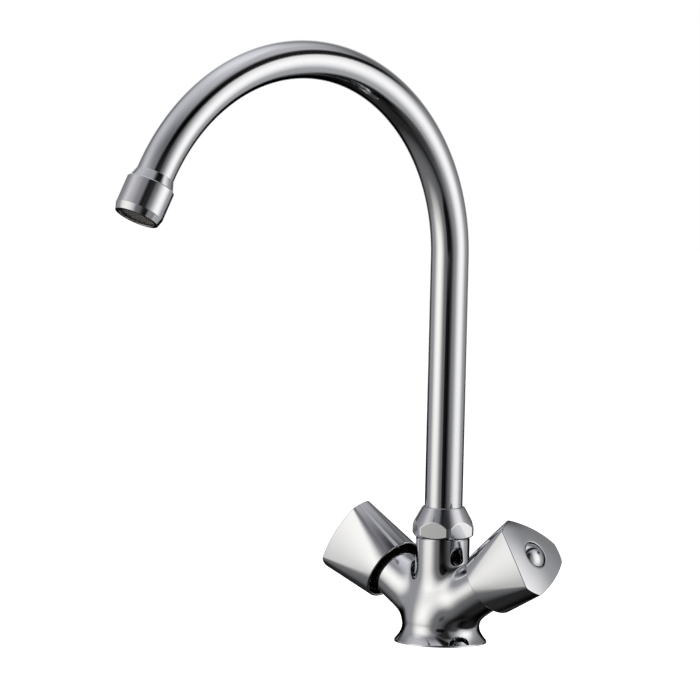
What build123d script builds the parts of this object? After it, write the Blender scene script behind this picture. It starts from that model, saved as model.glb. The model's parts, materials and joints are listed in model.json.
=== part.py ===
"""Two-handle kitchen mixer tap with a tall swivelling swan-neck spout.

Millimetres, +Z up.  The origin is the middle of the foot, on the sink deck.
The two valve axes lie in the XZ plane: hot towards -X, cold towards +X.
The spout reaches towards -Y, turned a little towards the hot handle.
Each piece is built about its own axis, then placed.
"""
import os
from math import acos, atan2, cos, degrees, radians, sin, tan

from build123d import *

os.makedirs("parts", exist_ok=True)

# ---------------------------------------------------------------- driving dimensions
# clearances
RUNNING = 0.05              # radial gap of every turning fit, and axial gap of turning faces
SLIDE_GAP = 0.15            # gap round a piece that only drops into a hole

# body casting
FOOT_RADIUS = 24.4
FOOT_LIP = 0.9              # height of the upright rim at the deck
WAIST_RADIUS = 19.7
WAIST_HEIGHT = 10.5
NECK_RADIUS = 14.3
SHOULDER_TOP = 31.0         # where the casting has narrowed to the neck
NECK_TOP = 55.0
NECK_CHAMFER = 0.5
PORT_RADIUS_ROOT = 14.0     # valve port, near the middle of the body
PORT_RADIUS_END = 13.2
PORT_END = 37.3             # along the valve axis
VALVE_TILT = 31.5           # valve axes above the horizontal
VALVE_CROSSING = 14.5       # height where the two valve axes cross
BODY_BLEND = 8.0            # casting radius between the ports, the neck and the foot

# waterways and fixing holes in the casting
INLET_OFFSET = 10.0
INLET_RADIUS = 4.5          # M10 x 1 thread, wall at the minor diameter
INLET_THREAD = 12.0
INLET_DRILL_RADIUS = 4.0
STUD_OFFSET = 13.5
STUD_RADIUS = 3.4           # M8 thread, wall at the minor diameter
STUD_DEPTH = 14.0
SEAT_HOLE_RADIUS = 4.4
SEAT_HOLE_START = 8.0       # along the valve axis
VALVE_SEAT = 19.0           # along the valve axis
CHAMBER_RADIUS = 7.5
CHAMBER_FLOOR = 29.5
CROSSWAY_RADIUS = 2.6
CROSSWAY_HEIGHT = 32.3
CROSSWAY_REACH = 6.0        # beyond the chamber's wall
GASKET_INNER = 19.0
GASKET_OUTER = 22.2
GASKET_THICKNESS = 1.8

# spout coupling
SPIGOT_RADIUS = 13.1        # G 3/4 thread on the neck
SPIGOT_TOP = 62.0
NUT_BOTTOM = 55.5
NUT_BOTTOM_RADIUS = 14.0
NUT_BARREL_RADIUS = 16.7
NUT_BARREL_BOTTOM = 57.4
NUT_BARREL_TOP = 61.7
NUT_TOP = 71.9
NUT_TOP_RADIUS = 11.15
NUT_ACROSS_FLATS = 30.0
NUT_TURN = 19.3             # one flat's normal, from -Y towards +X, in degrees
NUT_COUNTERBORE = 12.4
NUT_LIP = 1.6               # depth of the lip that holds the guide bush
NUT_GAP = 0.35              # round the tube, inside the lip
WASHER_THICKNESS = 0.8
COLLAR_RADIUS = 12.0
COLLAR_THICKNESS = 4.4
TUBE_SOCKET_DEPTH = 3.6
FERRULE_RADIUS = 9.25
FERRULE_BORE = 6.2
FERRULE_LENGTH = 24.0       # spigot below the collar
FERRULE_RUNOUT = 2.0        # neck bore below the spigot's end
O_RING_SECTION = 0.8        # radius of the rubber
O_RING_DROPS = (8.0, 16.0)  # below the collar
BUSH_TOP_RADIUS = 10.9

# spout
TUBE_RADIUS = 10.0
TUBE_WALL = 1.0
SPOUT_TURN = 9.9            # towards the hot handle
BEND_RADIUS = 106.3
BEND_HEIGHT = 204.3
BEND_ANGLE = 151.5
SPOUT_TAIL = 25.6           # straight run from the bend to the mouth

# nozzle, measured back from the mouth
SOCKET_TOP = 24.0
SOCKET_TOP_RADIUS = 10.3
SOCKET_BOTTOM_RADIUS = 12.0
TUBE_END = 20.6
HOUSING_LENGTH = 19.0
HOUSING_RADIUS = 12.85
HOUSING_CHAMFER = 0.5
MOUTH_BAND = 3.7
MOUTH_RADIUS = 11.7
MOUTH_HOLE = 9.8
MOUTH_LIP = 1.2
NOZZLE_THREAD = 11.0        # M22 x 1
NOZZLE_THREAD_LENGTH = 8.4
AERATOR_BORE = 10.6
AERATOR_GASKET = 1.8
SCREEN_THICKNESS = 0.7
SCREEN_HOLE = 0.75
SCREEN_RINGS = 3
SCREEN_PITCH = 2.6
JET_PLATE = 2.0
JET_RADIUS = 0.9
JET_CIRCLE = 6.0
JET_COUNT = 12
INSERT_WALL = 1.8

# ceramic headwork, distances along the valve axis
BORE_RADIUS = 10.3          # G 1/2 thread in the port
CAGE_RADIUS = 9.1
CAGE_BORE = 7.6
CAGE_START = 20.6
THREAD_START = 32.5
SEAL_THICKNESS = 1.0
SEAL_INSET = 0.5            # the seal's edge, inside the edge of the port
HEX_ACROSS_FLATS = 22.0
HEX_THICKNESS = 5.0
BONNET_NECK_RADIUS = 8.4
BONNET_TOP = 50.0
SEAT_SEAL_TOP = 22.4
DISC_THICKNESS = 2.8
DISC_RELIEF = 0.2           # the moving disc is this much smaller than the cage bore
WATERWAY_INNER = 1.8
WATERWAY_OUTER = 6.0
WATERWAY_RIB = 0.8
WINDOW_WIDTH = 9.0
WINDOW_HEIGHT = 3.6
WINDOW_STEP = 0.4           # above the moving disc's face
TONGUE_WIDTH = 3.0
TONGUE_HEIGHT = 1.0
FOOT_THICKNESS = 1.8        # driving foot of the spindle
STEM_RADIUS = 4.9
STEM_RING_SECTION = 0.6
STEM_RINGS = (36.0, 42.0)
CLIP_THICKNESS = 0.8
CLIP_ROOT = 3.9
CLIP_RADIUS = 6.4
CLIP_GAP = 4.0
SPLINE_RELIEF = 0.75        # between the clip and the splines
SPINDLE_GAP = 2.5           # over the spindle's end, inside the handle
SPLINE_TEETH = 20
SPLINE_TIP = 4.0
SPLINE_ROOT = 3.65
SCREW_RADIUS = 2.0          # M4

# handle, distances along the valve axis
SKIRT_START = 39.1
SKIRT_RADIUS = 18.0         # the rim is round
DOME_APEX = 73.3
DOME_RADIUS = 101.0
EDGE_DROP = 2.65            # the three-cornered outline is given this far below the apex
CORNER_REACH = 23.0         # from the axis, at the outline
FLAT_REACH = 17.1
FLAT_RADIUS = 100.0         # the flats are slightly crowned
CORNER_ROUNDING = 3.2       # where a corner runs into a flat, at the outline
EDGE_ROUNDING = 0.4
HOT_REST_TURN = 7.0         # within the dead travel of the discs, so the valve is still shut
HANDLE_WALL = 1.3
ROOF_DROP = 6.4             # from the apex down to the cavity
BOSS_RADIUS = 8.8
BOSS_GAP = 0.4              # between the boss and the foot of the splines
RECESS_RADIUS = 7.3
RECESS_DEPTH = 5.0          # below the apex
WEB_THICKNESS = 3.5
SCREW_LENGTH = 16.0
SCREW_HEAD_RADIUS = 3.6
SCREW_HEAD = 2.4
DRIVE_ACROSS_FLATS = 2.5
DRIVE_DEPTH = 1.4
BUTTON_RADIUS = 6.7
BUTTON_SINK = 0.8           # the button's edge, below the apex of the handle
BUTTON_RISE = 2.9
BUTTON_WALL = 1.4
BUTTON_HOLLOW = 3.2
DOT_RADIUS = 0.9
DOT_DEPTH = 0.6
DOT_PROUD = 0.1

# ---------------------------------------------------------------- worked-out places
SIDES = {"hot": -1, "cold": 1}
REST_TURN = {"hot": HOT_REST_TURN, "cold": 0}
OVERCUT = 1.0               # how far a cutter runs past the face that it opens

TUBE_BORE = TUBE_RADIUS - TUBE_WALL
NECK_BORE = FERRULE_RADIUS + RUNNING
COLLAR_BOTTOM = SPIGOT_TOP + WASHER_THICKNESS + RUNNING
COLLAR_TOP = COLLAR_BOTTOM + COLLAR_THICKNESS
TUBE_START = COLLAR_TOP - TUBE_SOCKET_DEPTH
FERRULE_BOTTOM = COLLAR_BOTTOM - FERRULE_LENGTH
NECK_BORE_FLOOR = FERRULE_BOTTOM - FERRULE_RUNOUT
BUSH_BORE = TUBE_RADIUS + RUNNING
BUSH_BOTTOM = COLLAR_TOP + RUNNING
BUSH_TOP = NUT_TOP - NUT_LIP
NUT_HOLE = TUBE_RADIUS + NUT_GAP
O_RING_ROOT = FERRULE_RADIUS - 2 * O_RING_SECTION
NOZZLE_FACE = HOUSING_LENGTH - NOZZLE_THREAD_LENGTH
SCREEN_TOP = MOUTH_LIP + SCREEN_THICKNESS
INSERT_TOP = NOZZLE_FACE - AERATOR_GASKET
HEX_START = PORT_END + SEAL_THICKNESS
HEX_END = HEX_START + HEX_THICKNESS
FIXED_DISC_TOP = SEAT_SEAL_TOP + DISC_THICKNESS
MOVING_DISC_START = FIXED_DISC_TOP + RUNNING
MOVING_DISC_TOP = MOVING_DISC_START + DISC_THICKNESS
MOVING_DISC_RADIUS = CAGE_BORE - DISC_RELIEF
FOOT_TOP = MOVING_DISC_TOP + FOOT_THICKNESS
CAGE_BORE_END = FOOT_TOP + RUNNING
STEM_BORE = STEM_RADIUS + RUNNING
STEM_RING_ROOT = STEM_RADIUS - 2 * STEM_RING_SECTION
CLIP_START = BONNET_TOP + RUNNING
SPLINE_START = CLIP_START + CLIP_THICKNESS + SPLINE_RELIEF
EDGE_PLANE = DOME_APEX - EDGE_DROP
CAVITY_END = DOME_APEX - ROOF_DROP
BOSS_START = SPLINE_START + BOSS_GAP
RECESS_FLOOR = DOME_APEX - RECESS_DEPTH
SCREW_END = RECESS_FLOOR - SCREW_LENGTH
WEB_BOTTOM = RECESS_FLOOR - WEB_THICKNESS
SPINDLE_TOP = WEB_BOTTOM - SPINDLE_GAP
BUTTON_APEX = DOME_APEX - BUTTON_SINK + BUTTON_RISE
BUTTON_DOME_RADIUS = (BUTTON_RADIUS**2 + BUTTON_RISE**2) / (2 * BUTTON_RISE)


# ---------------------------------------------------------------- small helpers
def rod(radius, low, high):
    """Upright cylinder from low to high on the local Z axis."""
    return Pos(0, 0, low) * Cylinder(radius, high - low, align=(Align.CENTER, Align.CENTER, Align.MIN))


def ring(outer, inner, low, high):
    """Upright tube."""
    return rod(outer, low, high) - rod(inner, low, high)


def turned(*points):
    """Solid turned about Z from a closed outline of (radius, height) points."""
    return revolve(Plane.YZ * make_face(Polyline(*points, close=True)), Axis.Z)


def hexagon(across_flats, low, high):
    """Upright hexagonal bar."""
    outline = RegularPolygon(across_flats / 2, 6, major_radius=False)
    return extrude(Pos(0, 0, low) * outline, high - low)


def o_rings(root, section, levels):
    """Rubber rings that sit on the roots of their grooves."""
    return Compound([Pos(0, 0, level) * Torus(root + section, section) for level in levels])


def o_ring_grooves(outer, root, section, levels):
    """What the grooves for such rings take out of a shaft."""
    half = section + SLIDE_GAP
    return [ring(outer + OVERCUT, root, level - half, level + half) for level in levels]


def dome(radius, apex):
    """Ball whose top is at the given height."""
    return Pos(0, 0, apex - radius) * Sphere(radius)


def polar(radius, degrees):
    """Point in the local XY plane."""
    return Vector(radius * cos(radians(degrees)), radius * sin(radians(degrees)))


def valve_frame(side):
    """Local frame of one valve: Z outwards along its axis, X towards the back of the tap."""
    outwards = (side * cos(radians(VALVE_TILT)), 0, sin(radians(VALVE_TILT)))
    return Plane(origin=(0, 0, VALVE_CROSSING), x_dir=(0, 1, 0), z_dir=outwards)


# ---------------------------------------------------------------- body casting
def body_core():
    """Foot, waist and shoulder, as one smooth turned shape up to the neck."""
    flare = Spline((FOOT_RADIUS, FOOT_LIP), (WAIST_RADIUS, WAIST_HEIGHT), tangents=((-0.55, 0.6), (0, 1)))
    shoulder = Spline((WAIST_RADIUS, WAIST_HEIGHT), (NECK_RADIUS, SHOULDER_TOP), tangents=((0, 1), (0, 1)))
    rest = Polyline(
        (NECK_RADIUS, SHOULDER_TOP),
        (NECK_RADIUS, NECK_TOP),
        (0, NECK_TOP),
        (0, 0),
        (FOOT_RADIUS, 0),
        (FOOT_RADIUS, FOOT_LIP),
    )
    return revolve(Plane.YZ * make_face(flare + shoulder + rest), Axis.Z)


def port():
    """One valve port, about its own axis."""
    return Cone(PORT_RADIUS_ROOT, PORT_RADIUS_END, PORT_END, align=(Align.CENTER, Align.CENTER, Align.MIN))


def joins_two_faces(edge, casting):
    """True for an edge between two faces, false for the seam of a round face."""
    return sum(any(edge.is_same(other) for other in face.edges()) for face in casting.faces()) == 2


def casting_blank():
    """The Y-shaped casting with soft blends, before any machining."""
    casting = body_core()
    for side in SIDES.values():
        casting += valve_frame(side) * port()
    junctions = [
        edge
        for edge in casting.edges()
        if joins_two_faces(edge, casting)
        and (edge.geom_type == GeomType.BSPLINE or abs(edge.center().Z - SHOULDER_TOP) < RUNNING)
    ]
    casting = casting.fillet(BODY_BLEND, junctions)
    neck_rim = casting.edges().filter_by(GeomType.CIRCLE).group_by(Axis.Z)[-1]
    return casting.chamfer(NECK_CHAMFER, None, neck_rim)


def valve_cuts():
    """Port bore, valve seat and the way inwards to the inlet, about the valve axis."""
    return [
        rod(BORE_RADIUS, VALVE_SEAT, PORT_END + OVERCUT),
        rod(SEAT_HOLE_RADIUS, SEAT_HOLE_START, VALVE_SEAT + OVERCUT),
    ]


def body():
    casting = casting_blank()
    casting += rod(SPIGOT_RADIUS, NECK_TOP - OVERCUT, SPIGOT_TOP)
    casting -= rod(NECK_BORE, NECK_BORE_FLOOR, SPIGOT_TOP + OVERCUT)
    casting -= rod(CHAMBER_RADIUS, CHAMBER_FLOOR, NECK_BORE_FLOOR + OVERCUT)
    casting -= ring(GASKET_OUTER, GASKET_INNER, -OVERCUT, GASKET_THICKNESS)
    casting -= Pos(0, STUD_OFFSET, 0) * rod(STUD_RADIUS, -OVERCUT, STUD_DEPTH)
    seat_reach = INLET_OFFSET * tan(radians(VALVE_TILT))
    for side in SIDES.values():
        for cut in valve_cuts():
            casting -= valve_frame(side) * cut
        inlet = Pos(side * INLET_OFFSET, 0, 0)
        casting -= inlet * rod(INLET_RADIUS, -OVERCUT, INLET_THREAD)
        casting -= inlet * rod(INLET_DRILL_RADIUS, INLET_THREAD - OVERCUT, VALVE_CROSSING + seat_reach)
        crossway = Pos(0, 0, CROSSWAY_HEIGHT) * Rot(0, side * 90, 0)
        casting -= crossway * rod(CROSSWAY_RADIUS, 0, CHAMBER_RADIUS + CROSSWAY_REACH)
    return casting


def base_gasket():
    return ring(GASKET_OUTER, GASKET_INNER, 0, GASKET_THICKNESS)


# ---------------------------------------------------------------- spout coupling
def spout_nut():
    """Turned cone and barrel with six flats, hollow for the thread, the collar and the guide bush."""
    blank = turned(
        (0, NUT_BOTTOM),
        (NUT_BOTTOM_RADIUS, NUT_BOTTOM),
        (NUT_BARREL_RADIUS, NUT_BARREL_BOTTOM),
        (NUT_BARREL_RADIUS, NUT_BARREL_TOP),
        (NUT_TOP_RADIUS, NUT_TOP),
        (0, NUT_TOP),
    )
    blank &= Rot(0, 0, NUT_TURN) * hexagon(NUT_ACROSS_FLATS, NUT_BOTTOM, NUT_TOP)
    hollow = turned(
        (0, NUT_BOTTOM - OVERCUT),
        (SPIGOT_RADIUS, NUT_BOTTOM - OVERCUT),
        (SPIGOT_RADIUS, SPIGOT_TOP),
        (NUT_COUNTERBORE, SPIGOT_TOP),
        (NUT_COUNTERBORE, BUSH_BOTTOM),
        (BUSH_TOP_RADIUS, BUSH_TOP),
        (NUT_HOLE, BUSH_TOP),
        (NUT_HOLE, NUT_TOP + OVERCUT),
        (0, NUT_TOP + OVERCUT),
    )
    return blank - hollow


def spout_washer():
    """Low-friction washer that the turning collar rests on."""
    return ring(COLLAR_RADIUS, NECK_BORE, SPIGOT_TOP, SPIGOT_TOP + WASHER_THICKNESS)


def guide_bush():
    """Tapered plastic bush that centres the tube in the nut."""
    return turned(
        (BUSH_BORE, BUSH_BOTTOM),
        (NUT_COUNTERBORE, BUSH_BOTTOM),
        (BUSH_TOP_RADIUS, BUSH_TOP),
        (BUSH_BORE, BUSH_TOP),
    )


def o_ring_levels():
    return [COLLAR_BOTTOM - drop for drop in O_RING_DROPS]


def spout_ferrule():
    """Turned foot of the spout: tube socket, collar and sealed spigot."""
    foot = turned(
        (FERRULE_BORE, FERRULE_BOTTOM),
        (FERRULE_RADIUS, FERRULE_BOTTOM),
        (FERRULE_RADIUS, COLLAR_BOTTOM),
        (COLLAR_RADIUS, COLLAR_BOTTOM),
        (COLLAR_RADIUS, COLLAR_TOP),
        (TUBE_RADIUS, COLLAR_TOP),
        (TUBE_RADIUS, TUBE_START),
        (FERRULE_BORE, TUBE_START),
    )
    for groove in o_ring_grooves(FERRULE_RADIUS, O_RING_ROOT, O_RING_SECTION, o_ring_levels()):
        foot -= groove
    return foot


def spout_o_rings():
    return o_rings(O_RING_ROOT, O_RING_SECTION, o_ring_levels())


# ---------------------------------------------------------------- spout
def bend_point(angle):
    """Point on the centre line of the swan neck, angle degrees round the bend."""
    return Vector(
        0,
        -BEND_RADIUS * (1 - cos(radians(angle))),
        BEND_HEIGHT + BEND_RADIUS * sin(radians(angle)),
    )


def outflow():
    """Direction in which the water leaves."""
    return Vector(0, -sin(radians(BEND_ANGLE)), cos(radians(BEND_ANGLE)))


def spout_tube():
    start = Vector(0, 0, TUBE_START)
    bend_end = bend_point(BEND_ANGLE)
    riser = Line(start, bend_point(0))
    bend = ThreePointArc(bend_point(0), bend_point(BEND_ANGLE / 2), bend_end)
    tail = Line(bend_end, bend_end + outflow() * (SPOUT_TAIL - TUBE_END))
    section = Plane(origin=start, z_dir=(0, 0, 1)) * (Circle(TUBE_RADIUS) - Circle(TUBE_BORE))
    return sweep(section, path=riser + bend + tail)


def nozzle_frame():
    """Local frame of the nozzle: origin in the mouth, Z back up the tube."""
    mouth = bend_point(BEND_ANGLE) + outflow() * SPOUT_TAIL
    return Plane(origin=mouth, x_dir=(1, 0, 0), z_dir=-outflow())


def nozzle_socket():
    """Flared end brazed onto the tube, with the male thread for the aerator."""
    return turned(
        (TUBE_RADIUS, TUBE_END),
        (TUBE_RADIUS, SOCKET_TOP),
        (SOCKET_TOP_RADIUS, SOCKET_TOP),
        (SOCKET_BOTTOM_RADIUS, HOUSING_LENGTH),
        (NOZZLE_THREAD, HOUSING_LENGTH),
        (NOZZLE_THREAD, NOZZLE_FACE),
        (TUBE_BORE, NOZZLE_FACE),
        (TUBE_BORE, TUBE_END),
    )


def aerator_housing():
    return turned(
        (NOZZLE_THREAD, HOUSING_LENGTH),
        (HOUSING_RADIUS - HOUSING_CHAMFER, HOUSING_LENGTH),
        (HOUSING_RADIUS, HOUSING_LENGTH - HOUSING_CHAMFER),
        (HOUSING_RADIUS, MOUTH_BAND),
        (MOUTH_RADIUS, 0),
        (MOUTH_HOLE, 0),
        (MOUTH_HOLE, MOUTH_LIP),
        (AERATOR_BORE, MOUTH_LIP),
        (AERATOR_BORE, NOZZLE_FACE),
        (NOZZLE_THREAD, NOZZLE_FACE),
    )


def aerator_gasket():
    return ring(AERATOR_BORE, TUBE_BORE, INSERT_TOP, NOZZLE_FACE)


def aerator_insert():
    """Plastic cup with a ring of jets in its roof."""
    cup = rod(AERATOR_BORE, SCREEN_TOP, INSERT_TOP)
    cup -= rod(AERATOR_BORE - INSERT_WALL, SCREEN_TOP, INSERT_TOP - JET_PLATE)
    for k in range(JET_COUNT):
        centre = polar(JET_CIRCLE, 360 * k / JET_COUNT)
        cup -= Pos(centre) * rod(JET_RADIUS, SCREEN_TOP, INSERT_TOP + OVERCUT)
    return cup


def aerator_screen():
    """Pierced disc that straightens the stream."""
    disc = rod(AERATOR_BORE, MOUTH_LIP, SCREEN_TOP)
    centres = [Vector(0, 0)]
    for k in range(1, SCREEN_RINGS + 1):
        centres += [polar(k * SCREEN_PITCH, 60 * step / k) for step in range(6 * k)]
    for centre in centres:
        disc -= Pos(centre) * rod(SCREEN_HOLE, 0, SCREEN_TOP + OVERCUT)
    return disc


# ---------------------------------------------------------------- ceramic headwork
def bonnet():
    """Brass headwork: cage with windows, thread, hexagon and neck."""
    shape = rod(CAGE_RADIUS, CAGE_START, THREAD_START)
    shape += rod(BORE_RADIUS, THREAD_START, HEX_START)
    shape += hexagon(HEX_ACROSS_FLATS, HEX_START, HEX_END)
    shape += rod(BONNET_NECK_RADIUS, HEX_END, BONNET_TOP)
    shape -= rod(CAGE_BORE, CAGE_START - OVERCUT, CAGE_BORE_END)
    shape -= rod(STEM_BORE, CAGE_BORE_END - OVERCUT, BONNET_TOP + OVERCUT)
    window = Box(WINDOW_WIDTH, 2 * CAGE_RADIUS + OVERCUT, WINDOW_HEIGHT)
    return shape - Pos(0, 0, MOVING_DISC_START + WINDOW_STEP + WINDOW_HEIGHT / 2) * window


def bonnet_seal():
    return ring(PORT_RADIUS_END - SEAL_INSET, BORE_RADIUS, PORT_END, HEX_START)


def seat_seal():
    """Rubber ring between the valve seat and the fixed disc."""
    return ring(CAGE_RADIUS, SEAT_HOLE_RADIUS, VALVE_SEAT, CAGE_START) + ring(
        CAGE_BORE, SEAT_HOLE_RADIUS, CAGE_START, SEAT_SEAL_TOP
    )


def waterways(low, high):
    """Two opposite quarter-circle openings through a disc."""
    openings = ring(WATERWAY_OUTER, WATERWAY_INNER, low, high)
    size = WATERWAY_OUTER
    quarter = Box(size, size, high - low, align=(Align.MIN, Align.MIN, Align.MIN))
    quarters = [Rot(0, 0, turn) * Pos(WATERWAY_RIB, WATERWAY_RIB, low) * quarter for turn in (0, 180)]
    return [openings & quarter_box for quarter_box in quarters]


def fixed_disc():
    disc = rod(CAGE_BORE, SEAT_SEAL_TOP, FIXED_DISC_TOP)
    for opening in waterways(SEAT_SEAL_TOP, FIXED_DISC_TOP):
        disc -= opening
    return disc


def tongue(low, high):
    """Driving tongue under the spindle's foot, and the slot for it."""
    length = 2 * (MOVING_DISC_RADIUS - TONGUE_HEIGHT)
    bar = Box(length, TONGUE_WIDTH, high - low, align=(Align.CENTER, Align.CENTER, Align.MIN))
    return Rot(0, 0, 45) * Pos(0, 0, low) * bar


def moving_disc():
    """Closed at rest: its openings stand a quarter turn from those of the fixed disc."""
    disc = rod(MOVING_DISC_RADIUS, MOVING_DISC_START, MOVING_DISC_TOP)
    for opening in waterways(MOVING_DISC_START, MOVING_DISC_TOP):
        disc -= Rot(0, 0, 90) * opening
    return disc - tongue(MOVING_DISC_TOP - TONGUE_HEIGHT, MOVING_DISC_TOP + OVERCUT)


def spline_bar(low, high):
    """Bar with fine teeth, used for the spindle's end and for the socket in the handle."""
    points = []
    for k in range(SPLINE_TEETH):
        points.append(polar(SPLINE_TIP, 360 * k / SPLINE_TEETH))
        points.append(polar(SPLINE_ROOT, 360 * (k + 0.5) / SPLINE_TEETH))
    return extrude(Pos(0, 0, low) * make_face(Polyline(*points, close=True)), high - low)


def spindle():
    shape = rod(MOVING_DISC_RADIUS, MOVING_DISC_TOP, FOOT_TOP)
    shape += tongue(MOVING_DISC_TOP - TONGUE_HEIGHT, MOVING_DISC_TOP)
    shape += rod(STEM_RADIUS, FOOT_TOP, SPLINE_START)
    shape += spline_bar(SPLINE_START, SPINDLE_TOP)
    for groove in o_ring_grooves(STEM_RADIUS, STEM_RING_ROOT, STEM_RING_SECTION, STEM_RINGS):
        shape -= groove
    shape -= ring(STEM_RADIUS + OVERCUT, CLIP_ROOT, CLIP_START, CLIP_START + CLIP_THICKNESS)
    return shape - rod(SCREW_RADIUS, SCREW_END, SPINDLE_TOP + OVERCUT)


def spindle_o_rings():
    return o_rings(STEM_RING_ROOT, STEM_RING_SECTION, STEM_RINGS)


def spindle_clip():
    """Open spring ring that keeps the spindle in the bonnet."""
    clip = ring(CLIP_RADIUS, CLIP_ROOT, CLIP_START, CLIP_START + CLIP_THICKNESS)
    return clip - Pos(CLIP_RADIUS, 0, CLIP_START) * Box(2 * CLIP_RADIUS, CLIP_GAP, 4 * CLIP_THICKNESS)


# ---------------------------------------------------------------- handle
def flat_ends():
    """Half-angles, in degrees, of a corner arc and of a flat, where the rounding between them starts."""
    rounding_reach = CORNER_REACH - CORNER_ROUNDING
    centre_gap = FLAT_RADIUS - FLAT_REACH
    span = FLAT_RADIUS - CORNER_ROUNDING
    cosine = (span**2 - rounding_reach**2 - centre_gap**2) / (2 * rounding_reach * centre_gap)
    from_flat = acos(cosine)
    flat_half = atan2(rounding_reach * sin(from_flat), centre_gap + rounding_reach * cosine)
    return 60 - degrees(from_flat), degrees(flat_half)


def cornered_outline(level, wall=0.0):
    """Outline with three corners, one to the back of the tap, three crowned flats and six roundings.

    Each arc starts as its share of the round skirt and keeps its directions up to the face.
    """
    share = (level - SKIRT_START) / (EDGE_PLANE - SKIRT_START)

    def arc(reach, turn, radius, start, end):
        now = SKIRT_RADIUS + share * (radius - SKIRT_RADIUS) - wall
        return CenterArc(polar(share * reach, turn), now, start, end - start)

    corner_half, flat_half = flat_ends()
    rounding_reach = CORNER_REACH - CORNER_ROUNDING
    arcs = []
    for corner in (0, 120, 240):
        corner_end = corner + corner_half
        flat = corner + 60
        next_start = corner + 120 - corner_half
        flat_start, flat_end = flat - flat_half, flat + flat_half
        arcs.append(arc(0, 0, CORNER_REACH, corner - corner_half, corner_end))
        arcs.append(arc(rounding_reach, corner_end, CORNER_ROUNDING, corner_end, flat_start))
        arcs.append(arc(FLAT_REACH - FLAT_RADIUS, flat, FLAT_RADIUS, flat_start, flat_end))
        arcs.append(arc(rounding_reach, next_start, CORNER_ROUNDING, flat_end, next_start))
    return Pos(0, 0, level) * make_face(arcs)


def handle():
    """Hollow three-cornered knob with a domed face, a splined boss and a recess for the button."""
    shell = loft([cornered_outline(SKIRT_START), cornered_outline(DOME_APEX)], ruled=True)
    shell &= dome(DOME_RADIUS, DOME_APEX)
    face = shell.faces().sort_by(Axis.Z)[-1]
    shell = shell.fillet(EDGE_ROUNDING, face.edges())
    cavity_ends = [cornered_outline(level, HANDLE_WALL) for level in (SKIRT_START, CAVITY_END)]
    shell -= loft(cavity_ends, ruled=True)
    shell += rod(BOSS_RADIUS, BOSS_START, CAVITY_END + OVERCUT)
    shell -= rod(RECESS_RADIUS, RECESS_FLOOR, DOME_APEX + OVERCUT)
    shell -= rod(SCREW_RADIUS + SLIDE_GAP, WEB_BOTTOM - OVERCUT, RECESS_FLOOR + OVERCUT)
    return shell - spline_bar(BOSS_START - OVERCUT, WEB_BOTTOM)


def handle_screw():
    screw = rod(SCREW_RADIUS, SCREW_END, RECESS_FLOOR)
    screw += rod(SCREW_HEAD_RADIUS, RECESS_FLOOR, RECESS_FLOOR + SCREW_HEAD)
    top = RECESS_FLOOR + SCREW_HEAD
    return screw - hexagon(DRIVE_ACROSS_FLATS, top - DRIVE_DEPTH, top + OVERCUT)


def button():
    """Domed cap over the screw."""
    cap = rod(BUTTON_RADIUS, RECESS_FLOOR, BUTTON_APEX + OVERCUT) & dome(BUTTON_DOME_RADIUS, BUTTON_APEX)
    cap -= rod(BUTTON_RADIUS - BUTTON_WALL, RECESS_FLOOR, RECESS_FLOOR + BUTTON_HOLLOW)
    return cap - rod(DOT_RADIUS, BUTTON_APEX - DOT_DEPTH, BUTTON_APEX + OVERCUT)


def index_dot():
    """Coloured plug in the middle of the button."""
    plug = rod(DOT_RADIUS, BUTTON_APEX - DOT_DEPTH, BUTTON_APEX + OVERCUT)
    return plug & dome(BUTTON_DOME_RADIUS + DOT_PROUD, BUTTON_APEX + DOT_PROUD)


# ---------------------------------------------------------------- assembly
FIXED = {
    "body": body,
    "base_gasket": base_gasket,
    "spout_nut": spout_nut,
    "spout_washer": spout_washer,
    "guide_bush": guide_bush,
}
ON_SPOUT = {
    "spout_tube": spout_tube,
    "spout_ferrule": spout_ferrule,
    "spout_o_rings": spout_o_rings,
}
ON_NOZZLE = {
    "nozzle_socket": nozzle_socket,
    "aerator_housing": aerator_housing,
    "aerator_gasket": aerator_gasket,
    "aerator_insert": aerator_insert,
    "aerator_screen": aerator_screen,
}
IN_EACH_PORT = {
    "bonnet": bonnet,
    "bonnet_seal": bonnet_seal,
    "seat_seal": seat_seal,
    "fixed_disc": fixed_disc,
}
ON_EACH_KNOB = {
    "moving_disc": moving_disc,
    "spindle": spindle,
    "spindle_o_rings": spindle_o_rings,
    "spindle_clip": spindle_clip,
    "handle": handle,
    "handle_screw": handle_screw,
    "button": button,
    "index_dot": index_dot,
}


def export(node, shape):
    export_step(shape, f"parts/{node}.step")


if __name__ == "__main__":
    spout_frame = Rot(0, 0, -SPOUT_TURN)
    for node, make in FIXED.items():
        export(node, make())
    for node, make in ON_SPOUT.items():
        export(node, spout_frame * make())
    for node, make in ON_NOZZLE.items():
        export(node, spout_frame * nozzle_frame().location * make())
    for name, side in SIDES.items():
        port_frame = valve_frame(side).location
        for node, make in IN_EACH_PORT.items():
            export(f"{name}_{node}", port_frame * make())
        for node, make in ON_EACH_KNOB.items():
            export(f"{name}_{node}", port_frame * Rot(0, 0, REST_TURN[name]) * make())
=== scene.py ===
"""Looks of the two handle kitchen faucet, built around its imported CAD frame.

Laid out as an add-on and run as a script.  CAD sizes are repeated here in millimetres.
"""
import json
from math import acos, atan2, cos, radians, sin, sqrt, tan

import bpy
import numpy as np
from mathutils import Matrix, Vector

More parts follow.
